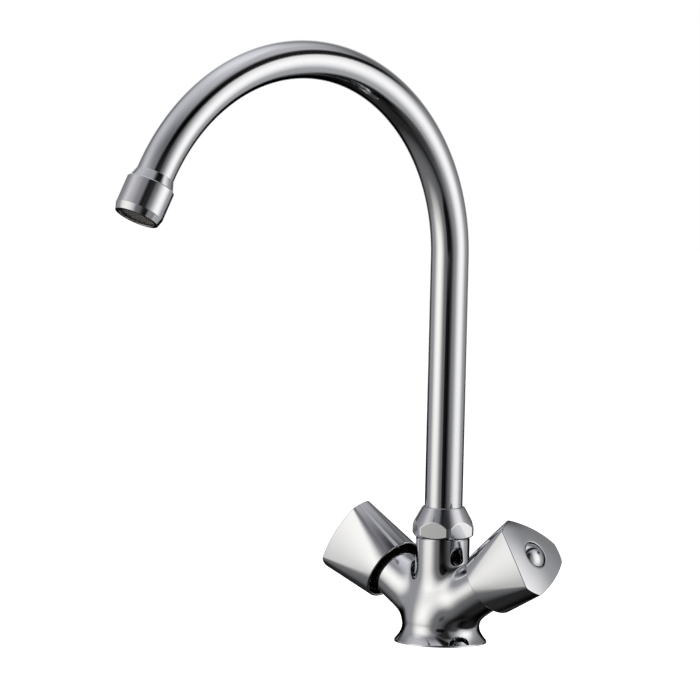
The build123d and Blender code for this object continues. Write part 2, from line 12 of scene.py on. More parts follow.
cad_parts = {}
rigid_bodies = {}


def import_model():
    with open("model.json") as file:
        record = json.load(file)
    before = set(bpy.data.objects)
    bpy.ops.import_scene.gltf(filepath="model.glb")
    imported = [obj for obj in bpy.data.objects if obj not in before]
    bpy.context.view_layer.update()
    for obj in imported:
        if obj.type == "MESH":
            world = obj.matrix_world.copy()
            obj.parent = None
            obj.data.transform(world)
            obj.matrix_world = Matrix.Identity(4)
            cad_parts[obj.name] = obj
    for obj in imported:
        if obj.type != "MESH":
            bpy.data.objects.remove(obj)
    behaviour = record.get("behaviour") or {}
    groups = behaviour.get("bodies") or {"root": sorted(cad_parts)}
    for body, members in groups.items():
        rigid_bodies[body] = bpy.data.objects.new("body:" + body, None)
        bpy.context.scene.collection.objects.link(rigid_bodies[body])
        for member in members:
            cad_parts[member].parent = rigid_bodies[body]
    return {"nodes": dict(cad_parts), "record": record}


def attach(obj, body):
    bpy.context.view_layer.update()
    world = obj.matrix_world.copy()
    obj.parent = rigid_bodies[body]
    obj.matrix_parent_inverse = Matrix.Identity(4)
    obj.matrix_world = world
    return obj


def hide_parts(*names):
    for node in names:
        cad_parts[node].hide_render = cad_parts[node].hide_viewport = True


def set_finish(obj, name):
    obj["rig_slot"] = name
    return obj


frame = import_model()

bl_info = {
    "name": "Two handle kitchen faucet",
    "version": (1, 0, 0),
    "blender": (4, 5, 0),
    "location": "3D View > Sidebar > Faucet",
    "description": "Models, finishes and lights a chrome kitchen faucet",
    "category": "Object",
}

MM = 0.001
POLE = 0.001                 # radius in mm that stands for nothing while a skin is turned

# ---------------------------------------------------------------- sizes of the CAD frame
# in mm and degrees
# body casting
FOOT_RADIUS = 24.4
FOOT_LIP = 0.9
FOOT_FLARE = (-0.55, 0.6)    # radius and height of the step in which the curve leaves the lip
WAIST_RADIUS = 19.7
WAIST_HEIGHT = 10.5
NECK_RADIUS = 14.3
SHOULDER_TOP = 31.0
NECK_TOP = 55.0
PORT_RADIUS_ROOT = 14.0
PORT_RADIUS_END = 13.2
PORT_END = 37.3
PORT_BORE = 10.3
SEAT_HOLE_RADIUS = 4.4
SEAT_HOLE_START = 8.0
VALVE_SEAT = 19.0
INLET_OFFSET = 10.0
INLET_RADIUS = 4.5
INLET_THREAD = 12.0
INLET_DRILL_RADIUS = 4.0
STUD_OFFSET = 13.5
STUD_RADIUS = 3.4
STUD_DEPTH = 14.0
NECK_BORE = 9.3
NECK_BORE_FLOOR = 36.85
CHAMBER_RADIUS = 7.5
CHAMBER_FLOOR = 29.5
CROSSWAY_START = 0.1
CROSSWAY_RADIUS = 2.6
CROSSWAY_HEIGHT = 32.3
CROSSWAY_REACH = 13.5
GASKET_INNER = 19.0
GASKET_OUTER = 22.2
GASKET_THICKNESS = 1.8
# coupling nut
NUT_BOTTOM = 55.5
NUT_BOTTOM_RADIUS = 14.0
NUT_BARREL_RADIUS = 16.7
NUT_BARREL_BOTTOM = 57.4
NUT_BARREL_TOP = 61.7
NUT_TOP = 71.9
NUT_TOP_RADIUS = 11.15
NUT_FLATS = 6
NUT_ACROSS_FLATS = 30.0
NUT_TURN = 19.3
NUT_THREAD = 13.1
NUT_THREAD_TOP = 62.0
NUT_COUNTERBORE = 12.4
BUSH_BOTTOM = 67.3
BUSH_TOP = 70.3
BUSH_TOP_RADIUS = 10.9
NUT_HOLE = 10.35
# swan neck
TUBE_RADIUS = 10.0
TUBE_WALL = 1.0
TUBE_START = 63.65
SPOUT_TURN = 9.9
BEND_RADIUS = 106.3
BEND_HEIGHT = 204.3
BEND_ANGLE = 151.5
SPOUT_TAIL = 25.6
# nozzle, back from the mouth
TUBE_END = 20.6
SOCKET_TOP = 24.0
SOCKET_TOP_RADIUS = 10.3
SOCKET_BOTTOM_RADIUS = 12.0
HOUSING_LENGTH = 19.0
HOUSING_RADIUS = 12.85
HOUSING_CHAMFER = 0.5
MOUTH_BAND = 3.7
MOUTH_RADIUS = 11.7
MOUTH_HOLE = 9.8
MOUTH_LIP = 1.2
NOZZLE_THREAD = 11.0
NOZZLE_FACE = 10.6
AERATOR_BORE = 10.6
SCREEN_THICKNESS = 0.7
SCREEN_RIM = 1.05
# knobs, along the valve axis
VALVE_TILT = 31.5
VALVE_CROSSING = 14.5
SIDES = {"hot": -1, "cold": 1}
REST_TURN = {"hot": 7.0, "cold": 0.0}
SKIRT_START = 39.1
SKIRT_RADIUS = 18.0
DOME_APEX = 73.3
DOME_RADIUS = 101.0
EDGE_DROP = 2.65
CORNER_REACH = 23.0
FLAT_REACH = 17.1
FLAT_RADIUS = 100.0
CORNER_ROUNDING = 3.2
HANDLE_WALL = 1.3
ROOF_DROP = 6.4
BOSS_RADIUS = 8.8
BOSS_START = 52.0
SOCKET_RADIUS = 4.0
RECESS_RADIUS = 7.3
RECESS_DEPTH = 5.0
WEB_THICKNESS = 3.5
BUTTON_RADIUS = 6.7
BUTTON_SINK = 0.8
BUTTON_RISE = 2.9
BUTTON_WALL = 1.4
BUTTON_HOLLOW = 3.2
DOT_RADIUS = 0.9
DOT_DEPTH = 0.6
DOT_PROUD = 0.1

# ---------------------------------------------------------------- fineness of the meshes
TURNED_COLUMNS = 128
KNOB_COLUMNS = 240
FACE_RINGS = 10
DOME_RINGS = 12
BEND_STEPS = 76
CASTING_COLUMNS = 96
CASTING_GRAIN = 0.7          # side of the small squares that the casting's skin is made of, mm
CORE_STEPS = 24
DRILL_COLUMNS = 48
SCREEN_SIDES = 24
SPARE = 3.0                  # what the raw casting has beyond its foot, neck and ports, mm
RUNOUT = 1.0                 # how far a tool, or a piece that is joined on, reaches past a face, mm
PRESSING_ROUNDS = 6          # times that the casting's corners are moved onto its shape
PRESSING_LIMIT = 1.0         # longest move of a corner in one round, mm
GENTLEST_SLOPE = 0.3         # keeps the moves short in creases, where the squared slope falls
ON_SKIN = 0.02               # a corner this near to the shape belongs to the flowing skin, mm
SKIN_LEAN = 35               # a face that leans more from the shape's slope is a machined one
EDGE_ROUNDS = 4              # times that the edge of a knob's face is found again
WIRE_SHARE = 0.28            # thickness of a wire, as a share of the pitch


# ---------------------------------------------------------------- colours and node helpers
def linear(code):
    """Linear colour of an sRGB hex value."""
    levels = [int(code[k : k + 2], 16) / 255 for k in (1, 3, 5)]
    return (*[v / 12.92 if v <= 0.04045 else ((v + 0.055) / 1.055) ** 2.4 for v in levels], 1.0)


def node(tree, kind, settings=None, **inputs):
    """Adds a node.

    Each input is a value or an output socket to link from.  It is named as the socket is, with _
    for a blank, or by the socket's number after a _.
    """
    made = tree.nodes.new(kind)
    for name, value in (settings or {}).items():
        setattr(made, name, value)
    for name, value in inputs.items():
        key = int(name[1:]) if name[1:].isdigit() else name.replace("_", " ")
        socket = made.inputs[key]
        if isinstance(value, bpy.types.NodeSocket):
            tree.links.new(value, socket)
        else:
            socket.default_value = value
    return made


def length(name, description, default, least, most):
    """Length property, its values given in mm."""
    return bpy.props.FloatProperty(
        name=name,
        description=description,
        default=default * MM,
        min=least * MM,
        max=most * MM,
        precision=5,
        unit="LENGTH",
    )


class FaucetSizes(bpy.types.PropertyGroup):
    """Sizes that a user would change."""

    casting_blend: length(
        "Casting blend", "How far the ports, the neck and the foot flow into one another", 11, 4, 20
    )
    knob_rounding: length(
        "Knob rounding", "Radius that buffing leaves along the edges of the knobs", 0.4, 0.1, 0.6
    )
    nut_rounding: length(
        "Nut rounding", "Radius along the edges of the coupling nut", 0.3, 0.1, 0.5
    )
    turned_rounding: length(
        "Turned edges", "Radius along the edges of the nozzle and the buttons", 0.2, 0.05, 0.25
    )
    wire_pitch: length(
        "Wire pitch", "Distance between the wires of the aerator's screen", 1.4, 0.8, 3
    )


def colour(name, description, default):
    """Colour property, its default given as an sRGB hex value."""
    return bpy.props.FloatVectorProperty(
        name=name,
        description=description,
        subtype="COLOR",
        size=4,
        min=0,
        max=1,
        default=linear(default),
    )


class FaucetFinishes(bpy.types.PropertyGroup):
    """Colours that a user would change."""

    chrome: colour("Chrome", "Colour that the chrome plate reflects with", "#CDCED1")
    brass: colour("Brass", "Turned brass of the ferrule and the headworks", "#8F7442")
    rubber: colour("Rubber", "Black rubber of the seals", "#1B1B1C")
    ceramic: colour("Ceramic", "White ceramic of the valve discs", "#E8E6DF")
    steel: colour("Steel", "Stainless steel of the screen, clips and screws", "#7B7976")
    plastic: colour("Plastic", "Black acetal of the aerator's insert and the guide bush", "#2A2A2B")
    hot_mark: colour("Hot mark", "Enamel dot of the hot knob", "#A3201C")
    cold_mark: colour("Cold mark", "Enamel dot of the cold knob", "#1D3B73")
    background: colour("Background", "Floor and backdrop as the camera sees them", "#FFFFFF")


# ---------------------------------------------------------------- frames
def basis(x_axis, z_axis, origin):
    """Matrix of a right-handed frame, its origin in metres."""
    z_axis = Vector(z_axis).normalized()
    x_axis = Vector(x_axis).normalized()
    matrix = Matrix((x_axis, z_axis.cross(x_axis), z_axis)).transposed().to_4x4()
    matrix.translation = origin
    return matrix


def valve_frame(side):
    """Z outwards along a valve axis, X to the back of the faucet."""
    tilt = radians(VALVE_TILT)
    outwards = (SIDES[side] * cos(tilt), 0, sin(tilt))
    return basis((0, 1, 0), outwards, (0, 0, VALVE_CROSSING * MM))


def knob_frame(side):
    """Valve frame, turned as the knob stands at rest."""
    return valve_frame(side) @ Matrix.Rotation(radians(REST_TURN[side]), 4, "Z")


def spout_frame():
    """Z up the neck, turned as the spout stands at rest."""
    return Matrix.Rotation(radians(-SPOUT_TURN), 4, "Z")


def outflow():
    """Direction of the water in the mouth, before the spout is turned."""
    bend = radians(BEND_ANGLE)
    return Vector((0, -sin(bend), cos(bend)))


def nozzle_frame():
    """Origin in the mouth, Z back up the tube."""
    bend = radians(BEND_ANGLE)
    bend_end = Vector((0, -BEND_RADIUS * (1 - cos(bend)), BEND_HEIGHT + BEND_RADIUS * sin(bend)))
    mouth = (bend_end + outflow() * SPOUT_TAIL) * MM
    return spout_frame() @ basis((1, 0, 0), -outflow(), mouth)


# ---------------------------------------------------------------- modelling helpers
def pick(piece):
    """Makes a piece the only one selected, and the active one."""
    bpy.ops.object.select_all(action="DESELECT")
    piece.select_set(True)
    bpy.context.view_layer.objects.active = piece


def ring_of(name, radius, height, columns=TURNED_COLUMNS):
    """Circle about Z, left in edit mode and selected."""
    bpy.ops.object.select_all(action="DESELECT")
    bpy.ops.mesh.primitive_circle_add(vertices=columns, radius=max(radius, POLE) * MM)
    piece = bpy.context.object
    piece.name = piece.data.name = name
    bpy.ops.object.mode_set(mode="EDIT")
    bpy.ops.mesh.select_all(action="SELECT")
    bpy.ops.transform.translate(value=(0, 0, height * MM))
    return piece


def close_skin():
    """Merges what meets, turns the faces outwards and leaves edit mode."""
    bpy.ops.mesh.select_all(action="SELECT")
    bpy.ops.mesh.remove_doubles(threshold=3 * POLE * MM)
    bpy.ops.mesh.normals_make_consistent(inside=False)
    bpy.ops.object.mode_set(mode="OBJECT")


def trim(face, outwards, fill=True):
    """Cuts off what lies beyond a plane."""
    bpy.ops.mesh.select_all(action="SELECT")
    bpy.ops.mesh.bisect(plane_co=face, plane_no=outwards, use_fill=fill, clear_outer=True)


def turned(name, *profile, columns=TURNED_COLUMNS, closed=False):
    """Skin turned about Z: a ring that is extruded and scaled from point to point.

    Each point is a radius and a height.  A radius of nothing ends the skin in a pole.  A closed
    profile comes back to its first point.
    """
    piece = ring_of(name, *profile[0], columns)
    points = profile + profile[:1] if closed else profile
    for (r0, z0), (r1, z1) in zip(points, points[1:]):
        scale = max(r1, POLE) / max(r0, POLE)
        bpy.ops.mesh.extrude_region_move(TRANSFORM_OT_translate={"value": (0, 0, (z1 - z0) * MM)})
        bpy.ops.transform.resize(value=(scale, scale, 1), center_override=(0, 0, z1 * MM))
    close_skin()
    return piece


def modify(piece, kind, **settings):
    """Adds a modifier and applies it."""
    pick(piece)
    modifier = piece.modifiers.new(kind.lower(), kind)
    for name, value in settings.items():
        setattr(modifier, name, value)
    bpy.ops.object.modifier_apply(modifier=modifier.name)


def soften(piece, width, segments=3, angle=20):
    """Rounds the edges that are sharper than the angle, and shades each broad face as one."""
    modify(
        piece,
        "BEVEL",
        width=width,
        segments=segments,
        limit_method="ANGLE",
        angle_limit=radians(angle),
        use_clamp_overlap=True,
        miter_outer="MITER_ARC",
    )
    pick(piece)
    bpy.ops.object.shade_smooth()
    modify(piece, "WEIGHTED_NORMAL", keep_sharp=False, weight=50)


def place(piece, matrix):
    """Moves the mesh, and leaves its object at the origin."""
    pick(piece)
    piece.matrix_world = matrix @ piece.matrix_world
    bpy.ops.object.transform_apply()


def points_of(piece):
    """Corners of a mesh in mm."""
    flat = np.empty(3 * len(piece.data.vertices))
    piece.data.vertices.foreach_get("co", flat)
    return flat.reshape(-1, 3) / MM


def copy_of(piece, name):
    """Copy with its own mesh."""
    made = piece.copy()
    made.data = piece.data.copy()
    made.name = made.data.name = name
    bpy.context.scene.collection.objects.link(made)
    return made


def absorb(piece, other):
    """Joins another mesh to a piece."""
    pick(other)
    piece.select_set(True)
    bpy.context.view_layer.objects.active = piece
    bpy.ops.object.join()


def cut(piece, tool, operation="DIFFERENCE"):
    """Boolean with a tool that is used up."""
    modify(piece, "BOOLEAN", operation=operation, object=tool, solver="EXACT")
    bpy.data.objects.remove(tool)


def drill(matrix, start, *steps):
    """Stepped drill about the matrix's Z axis, each step a radius and the height where it ends."""
    profile = [(0, start)]
    for radius, end in steps:
        profile += [(radius, profile[-1][1]), (radius, end)]
    profile.append((0, profile[-1][1]))
    tool = turned("drill", *profile, columns=DRILL_COLUMNS)
    place(tool, matrix)
    return tool


def hand_over(piece, body, slot, *nodes):
    """Gives a piece its body, its slot and the frame nodes that it stands for."""
    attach(piece, body)
    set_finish(piece, slot)
    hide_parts(*nodes)


# ---------------------------------------------------------------- body casting
# Tubes that flow into one another as they do here can't be had from bevels, so the casting is a
# coarse skin whose corners are moved to where a soft union of the same tubes has its surface.
def core_line():
    """Radius of the foot, waist and shoulder at each height, as the CAD's two splines give it."""
    waist = (WAIST_RADIUS, WAIST_HEIGHT)
    upwards = (0, 1)
    line = [(0.0, FOOT_RADIUS), (FOOT_LIP, FOOT_RADIUS)]
    for (r0, z0), (r1, z1), leaving in (
        ((FOOT_RADIUS, FOOT_LIP), waist, FOOT_FLARE),
        (waist, (NECK_RADIUS, SHOULDER_TOP), upwards),
    ):
        chord = sqrt((r1 - r0) ** 2 + (z1 - z0) ** 2)
        first, last = Vector((r0, z0)), Vector((r1, z1))
        pull = (Vector(leaving).normalized() * chord, Vector(upwards) * chord)
        for k in range(1, CORE_STEPS + 1):
            t = k / CORE_STEPS
            point = (2 * t**3 - 3 * t**2 + 1) * first + (t**3 - 2 * t**2 + t) * pull[0]
            point += (3 * t**2 - 2 * t**3) * last + (t**3 - t**2) * pull[1]
            line.append((point.y, point.x))
    return np.array(line).T


def soft_union(distances, blend):
    """Smallest distance, rounded over by a cubic where two are nearly the same."""
    total = distances[0]
    for other in distances[1:]:
        near = np.clip(blend - np.abs(total - other), 0, None) / blend
        total = np.minimum(total, other) - near**3 * blend / 6
    return total


def casting_distance(points, blend):
    """Distance in mm from the skin of the casting, less than nothing inside it."""
    heights, radii = core_line()
    x, y, z = points.T
    around = np.hypot(x, y)
    slope = np.gradient(radii, heights, edge_order=1)
    here = np.interp(z, heights, radii)
    lean = np.interp(z, heights, slope)
    parts = [(around - here) / np.sqrt(1 + lean**2)]
    narrowing = (PORT_RADIUS_ROOT - PORT_RADIUS_END) / PORT_END
    tilt = radians(VALVE_TILT)
    for side in SIDES.values():
        along = x * side * cos(tilt) + (z - VALVE_CROSSING) * sin(tilt)
        off = np.sqrt(np.clip(x**2 + y**2 + (z - VALVE_CROSSING) ** 2 - along**2, 0, None))
        port = (off - PORT_RADIUS_ROOT + narrowing * along) / sqrt(1 + narrowing**2)
        back = np.sqrt(off**2 + np.minimum(along, 0) ** 2) - PORT_RADIUS_ROOT
        parts.append(np.where(along < 0, back, port))
    return soft_union(parts, blend)


def casting_slope(points, blend, step=0.02):
    """Gradient of the distance, from differences over a step in mm."""
    columns = []
    for axis in range(3):
        offset = np.zeros(3)
        offset[axis] = step
        rise = casting_distance(points + offset, blend) - casting_distance(points - offset, blend)
        columns.append(rise / (2 * step))
    return np.stack(columns, axis=1)


def casting_skin(blend):
    """Closed skin of the whole casting before machining, its foot, neck and ports cut square."""
    heights, radii = core_line()
    line = [(0, -SPARE), (FOOT_RADIUS, -SPARE)]
    line += [(radius, height) for height, radius in zip(heights, radii)]
    line += [(NECK_RADIUS, NECK_TOP + SPARE), (0, NECK_TOP + SPARE)]
    skin = turned("casting", *line, columns=CASTING_COLUMNS)
    for side in SIDES:
        port = turned(
            f"{side}_port",
            (0, 0),
            (PORT_RADIUS_ROOT, 0),
            (PORT_RADIUS_END, PORT_END + SPARE),
            (0, PORT_END + SPARE),
            columns=CASTING_COLUMNS,
        )
        place(port, valve_frame(side))
        absorb(skin, port)
    modify(skin, "REMESH", mode="VOXEL", voxel_size=CASTING_GRAIN * MM)
    points = points_of(skin)
    for _ in range(PRESSING_ROUNDS):
        slope = casting_slope(points, blend)
        steep = np.clip((slope**2).sum(axis=1), GENTLEST_SLOPE, None)
        step = np.clip(casting_distance(points, blend) / steep, -PRESSING_LIMIT, PRESSING_LIMIT)
        points = points - slope * step[:, None]
    skin.data.vertices.foreach_set("co", (points * MM).ravel())
    pick(skin)
    bpy.ops.object.mode_set(mode="EDIT")
    trims = [((0, 0, 0), (0, 0, -1)), ((0, 0, NECK_TOP * MM), (0, 0, 1))]
    for side in SIDES:
        port = valve_frame(side)
        trims.append((port @ Vector((0, 0, PORT_END * MM)), port.to_3x3().col[2]))
    for face, outwards in trims:
        trim(face, outwards)
    close_skin()
    return skin


def machining():
    """Every bore of the casting, as one tool."""
    neck = Matrix.Identity(4)
    steps = (CHAMBER_RADIUS, NECK_BORE_FLOOR), (NECK_BORE, NUT_THREAD_TOP + RUNOUT)
    tool = drill(neck, CHAMBER_FLOOR, *steps)
    stud = Matrix.Translation((0, STUD_OFFSET * MM, 0))
    others = [drill(stud, -RUNOUT, (STUD_RADIUS, STUD_DEPTH))]
    inlet_end = VALVE_CROSSING + INLET_OFFSET * tan(radians(VALVE_TILT))
    for side, sign in SIDES.items():
        steps = (SEAT_HOLE_RADIUS, VALVE_SEAT), (PORT_BORE, PORT_END + RUNOUT)
        others.append(drill(valve_frame(side), SEAT_HOLE_START, *steps))
        inlet = Matrix.Translation((sign * INLET_OFFSET * MM, 0, 0))
        steps = (INLET_RADIUS, INLET_THREAD), (INLET_DRILL_RADIUS, inlet_end)
        others.append(drill(inlet, -RUNOUT, *steps))
        across = basis((0, 1, 0), (sign, 0, 0), (0, 0, CROSSWAY_HEIGHT * MM))
        others.append(drill(across, CROSSWAY_START, (CROSSWAY_RADIUS, CROSSWAY_REACH)))
    for other in others:
        cut(tool, other, "UNION")
    return tool


def shade_casting(casting, blend):
    """Shades the skin by the exact slope of its shape, and the machined faces flat."""
    mesh = casting.data
    pick(casting)
    bpy.ops.object.shade_smooth()
    points = points_of(casting)
    slope = casting_slope(points, blend)
    slope /= np.linalg.norm(slope, axis=1)[:, None]
    on_skin = np.abs(casting_distance(points, blend)) < ON_SKIN
    corner_of = np.empty(len(mesh.loops), dtype=int)
    mesh.loops.foreach_get("vertex_index", corner_of)
    normals = np.empty(3 * len(mesh.polygons))
    mesh.polygons.foreach_get("normal", normals)
    sides = np.empty(len(mesh.polygons), dtype=int)
    mesh.polygons.foreach_get("loop_total", sides)
    normals = np.repeat(normals.reshape(-1, 3), sides, axis=0)
    agreement = (normals * slope[corner_of]).sum(axis=1)
    flowing = on_skin[corner_of] & (agreement > cos(radians(SKIN_LEAN)))
    normals[flowing] = slope[corner_of][flowing]
    mesh.normals_split_custom_set(normals.tolist())


class FAUCET_OT_casting(bpy.types.Operator):
    """Models the Y-shaped body, its ports and neck flowing into one another"""

    bl_idname = "faucet.casting"
    bl_label = "Body casting"

    def execute(self, context):
        blend = context.scene.faucet_sizes.casting_blend / MM
        casting = casting_skin(blend)
        spigot = turned(
            "spigot",
            (0, NECK_TOP - RUNOUT),
            (NUT_THREAD, NECK_TOP - RUNOUT),
            (NUT_THREAD, NUT_THREAD_TOP),
            (0, NUT_THREAD_TOP),
        )
        cut(casting, spigot, "UNION")
        cut(casting, machining())
        groove = turned(
            "gasket_groove",
            (GASKET_INNER, -RUNOUT),
            (GASKET_OUTER, -RUNOUT),
            (GASKET_OUTER, GASKET_THICKNESS),
            (GASKET_INNER, GASKET_THICKNESS),
            closed=True,
        )
        cut(casting, groove)
        shade_casting(casting, blend)
        hand_over(casting, "fixed_body", "body_chrome", "body")
        return {"FINISHED"}


# ---------------------------------------------------------------- knobs
def flat_ends():
    """Half-angles of a corner and of a flat, where the rounding between them starts, in radians."""
    rounding_reach = CORNER_REACH - CORNER_ROUNDING
    centre_gap = FLAT_RADIUS - FLAT_REACH
    span = FLAT_RADIUS - CORNER_ROUNDING
    cosine = (span**2 - rounding_reach**2 - centre_gap**2) / (2 * rounding_reach * centre_gap)
    from_flat = acos(cosine)
    flat_half = atan2(rounding_reach * sin(from_flat), centre_gap + rounding_reach * cosine)
    return radians(60) - from_flat, flat_half


def cornered(direction, height, wall=0.0):
    """Point of the knob's outline where it faces a direction: corners at 0, 120 and 240 degrees."""
    share = (height - SKIRT_START) / (DOME_APEX - EDGE_DROP - SKIRT_START)
    corner_half, flat_half = flat_ends()
    third = radians(120)
    off_corner = (direction + third / 2) % third - third / 2
    corner = direction - off_corner
    side = 1 if off_corner > 0 else -1
    if abs(off_corner) <= corner_half:
        reach, radius = 0, CORNER_REACH
        turn = corner
    elif abs(off_corner) >= third / 2 - flat_half:
        reach, radius = FLAT_REACH - FLAT_RADIUS, FLAT_RADIUS
        turn = corner + side * third / 2
    else:
        reach, radius = CORNER_REACH - CORNER_ROUNDING, CORNER_ROUNDING
        turn = corner + side * corner_half
    reach *= share
    radius = SKIRT_RADIUS + share * (radius - SKIRT_RADIUS) - wall
    across = reach * cos(turn) + radius * cos(direction)
    along = reach * sin(turn) + radius * sin(direction)
    return Vector((across, along, height))


def domed(x, y, radius=DOME_RADIUS, apex=DOME_APEX):
    """Height of a dome over a point."""
    return apex - radius + sqrt(radius**2 - x * x - y * y)


def dome_line(outer, inner, radius, apex):
    """Profile points of a dome, from the outer radius to the inner one."""
    steps = [outer + (inner - outer) * k / DOME_RINGS for k in range(DOME_RINGS + 1)]
    return [(r, domed(r, 0, radius, apex)) for r in steps]


def face_edge(direction):
    """Where the outline meets the domed face."""
    point = cornered(direction, DOME_APEX - EDGE_DROP)
    for _ in range(EDGE_ROUNDS):
        point = cornered(direction, domed(point.x, point.y))
    return point


def on_face(direction, share):
    """Point of the face, from the recess (0) to the edge (1)."""
    inner = Vector((RECESS_RADIUS * cos(direction), RECESS_RADIUS * sin(direction), 0))
    point = inner.lerp(face_edge(direction), share)
    return Vector((point.x, point.y, domed(point.x, point.y)))


def round_ring(radius, height):
    """Ring that gives its point for each direction."""
    return lambda direction: Vector((radius * cos(direction), radius * sin(direction), height))


def knob_shell(name):
    """Hollow knob, one skin from the recess over the face and the skirt into the boss."""
    recess_floor = DOME_APEX - RECESS_DEPTH
    roof = DOME_APEX - ROOF_DROP
    web = recess_floor - WEB_THICKNESS
    rings = [round_ring(POLE, recess_floor), round_ring(RECESS_RADIUS, recess_floor)]
    rings += [lambda turn, share=k / FACE_RINGS: on_face(turn, share) for k in range(FACE_RINGS)]
    rings += [
        face_edge,
        lambda turn: cornered(turn, SKIRT_START),
        lambda turn: cornered(turn, SKIRT_START, HANDLE_WALL),
        lambda turn: cornered(turn, roof, HANDLE_WALL),
        round_ring(BOSS_RADIUS, roof),
        round_ring(BOSS_RADIUS, BOSS_START),
        round_ring(SOCKET_RADIUS, BOSS_START),
        round_ring(SOCKET_RADIUS, web),
        round_ring(POLE, web),
    ]
    # a plain drum with as many rings is raised first, then each ring takes its own line
    levels = [(RECESS_RADIUS, level) for level in range(len(rings))]
    drum = turned(name, *levels, columns=KNOB_COLUMNS)
    for corner in drum.data.vertices:
        level = round(corner.co.z / MM)
        corner.co = rings[level](atan2(corner.co.y, corner.co.x)) * MM
    pick(drum)
    bpy.ops.object.mode_set(mode="EDIT")
    close_skin()
    return drum


class FAUCET_OT_knobs(bpy.types.Operator):
    """Models the two hollow knobs, each a shell with a recess for its button"""

    bl_idname = "faucet.knobs"
    bl_label = "Knobs"

    def execute(self, context):
        shell = knob_shell("cold_knob_shell")
        soften(shell, context.scene.faucet_sizes.knob_rounding, angle=35)
        other = copy_of(shell, "hot_knob_shell")
        for piece, side in ((shell, "cold"), (other, "hot")):
            place(piece, knob_frame(side))
            hand_over(piece, f"{side}_knob", "handle_chrome", f"{side}_handle")
        return {"FINISHED"}


class FAUCET_OT_buttons(bpy.types.Operator):
    """Models the domed buttons and the enamel dots in them"""

    bl_idname = "faucet.buttons"
    bl_label = "Buttons"

    def execute(self, context):
        floor = DOME_APEX - RECESS_DEPTH
        apex = DOME_APEX - BUTTON_SINK + BUTTON_RISE
        dome = (BUTTON_RADIUS**2 + BUTTON_RISE**2) / (2 * BUTTON_RISE)
        hollow = BUTTON_RADIUS - BUTTON_WALL
        cap = turned(
            "cold_button_cap",
            (0, floor + BUTTON_HOLLOW),
            (hollow, floor + BUTTON_HOLLOW),
            (hollow, floor),
            (BUTTON_RADIUS, floor),
            *dome_line(BUTTON_RADIUS, DOT_RADIUS, dome, apex),
            (DOT_RADIUS, apex - DOT_DEPTH),
            (0, apex - DOT_DEPTH),
        )
        soften(cap, context.scene.faucet_sizes.turned_rounding / 2, angle=30)
        dot = turned(
            "cold_dot",
            (0, apex - DOT_DEPTH),
            (DOT_RADIUS, apex - DOT_DEPTH),
            *dome_line(DOT_RADIUS, 0, dome + DOT_PROUD, apex + DOT_PROUD),
        )
        soften(dot, context.scene.faucet_sizes.turned_rounding / 4, angle=30)
        for part, stands_for in ((cap, "button"), (dot, "index_dot")):
            other = copy_of(part, part.name.replace("cold", "hot"))
            for piece, side in ((part, "cold"), (other, "hot")):
                place(piece, knob_frame(side))
                slot = "handle_chrome" if part is cap else f"{side}_mark"
                hand_over(piece, f"{side}_knob", slot, f"{side}_{stands_for}")
        return {"FINISHED"}


# ---------------------------------------------------------------- nut and spout
class FAUCET_OT_nut(bpy.types.Operator):
    """Models the coupling nut: a turned blank, cut to six flats"""

    bl_idname = "faucet.nut"
    bl_label = "Coupling nut"

    def execute(self, context):
        nut = turned(
            "coupling_nut",
            (NUT_THREAD, NUT_BOTTOM),
            (NUT_BOTTOM_RADIUS, NUT_BOTTOM),
            (NUT_BARREL_RADIUS, NUT_BARREL_BOTTOM),
            (NUT_BARREL_RADIUS, NUT_BARREL_TOP),
            (NUT_TOP_RADIUS, NUT_TOP),
            (NUT_HOLE, NUT_TOP),
            (NUT_HOLE, BUSH_TOP),
            (BUSH_TOP_RADIUS, BUSH_TOP),
            (NUT_COUNTERBORE, BUSH_BOTTOM),
            (NUT_COUNTERBORE, NUT_THREAD_TOP),
            (NUT_THREAD, NUT_THREAD_TOP),
            columns=2 * TURNED_COLUMNS,
            closed=True,
        )
        pick(nut)
        bpy.ops.object.mode_set(mode="EDIT")
        for flat in range(NUT_FLATS):
            turn = radians(NUT_TURN + 360 / NUT_FLATS * flat)
            outwards = Vector((sin(turn), -cos(turn), 0))
            trim(outwards * NUT_ACROSS_FLATS / 2 * MM, outwards)
        close_skin()
        soften(nut, context.scene.faucet_sizes.nut_rounding, angle=18)
        hand_over(nut, "fixed_body", "body_chrome", "spout_nut")
        return {"FINISHED"}


class FAUCET_OT_swan_neck(bpy.types.Operator):
    """Models the spout tube: raised, bent round and given its wall"""

    bl_idname = "faucet.swan_neck"
    bl_label = "Swan neck"

    def execute(self, context):
        tube = ring_of("swan_neck", TUBE_RADIUS, TUBE_START)
        rise = (0, 0, (BEND_HEIGHT - TUBE_START) * MM)
        bpy.ops.mesh.extrude_region_move(TRANSFORM_OT_translate={"value": rise})
        bpy.ops.mesh.spin(
            steps=BEND_STEPS,
            angle=radians(BEND_ANGLE),
            center=(0, -BEND_RADIUS * MM, BEND_HEIGHT * MM),
            axis=(-1, 0, 0),
        )
        tail = outflow() * (SPOUT_TAIL - TUBE_END) * MM
        bpy.ops.mesh.extrude_region_move(TRANSFORM_OT_translate={"value": tail})
        close_skin()
        modify(tube, "SOLIDIFY", thickness=TUBE_WALL * MM, offset=-1)
        soften(tube, context.scene.faucet_sizes.turned_rounding / 2, segments=2, angle=40)
        place(tube, spout_frame())
        hand_over(tube, "spout", "spout_chrome", "spout_tube")
        return {"FINISHED"}


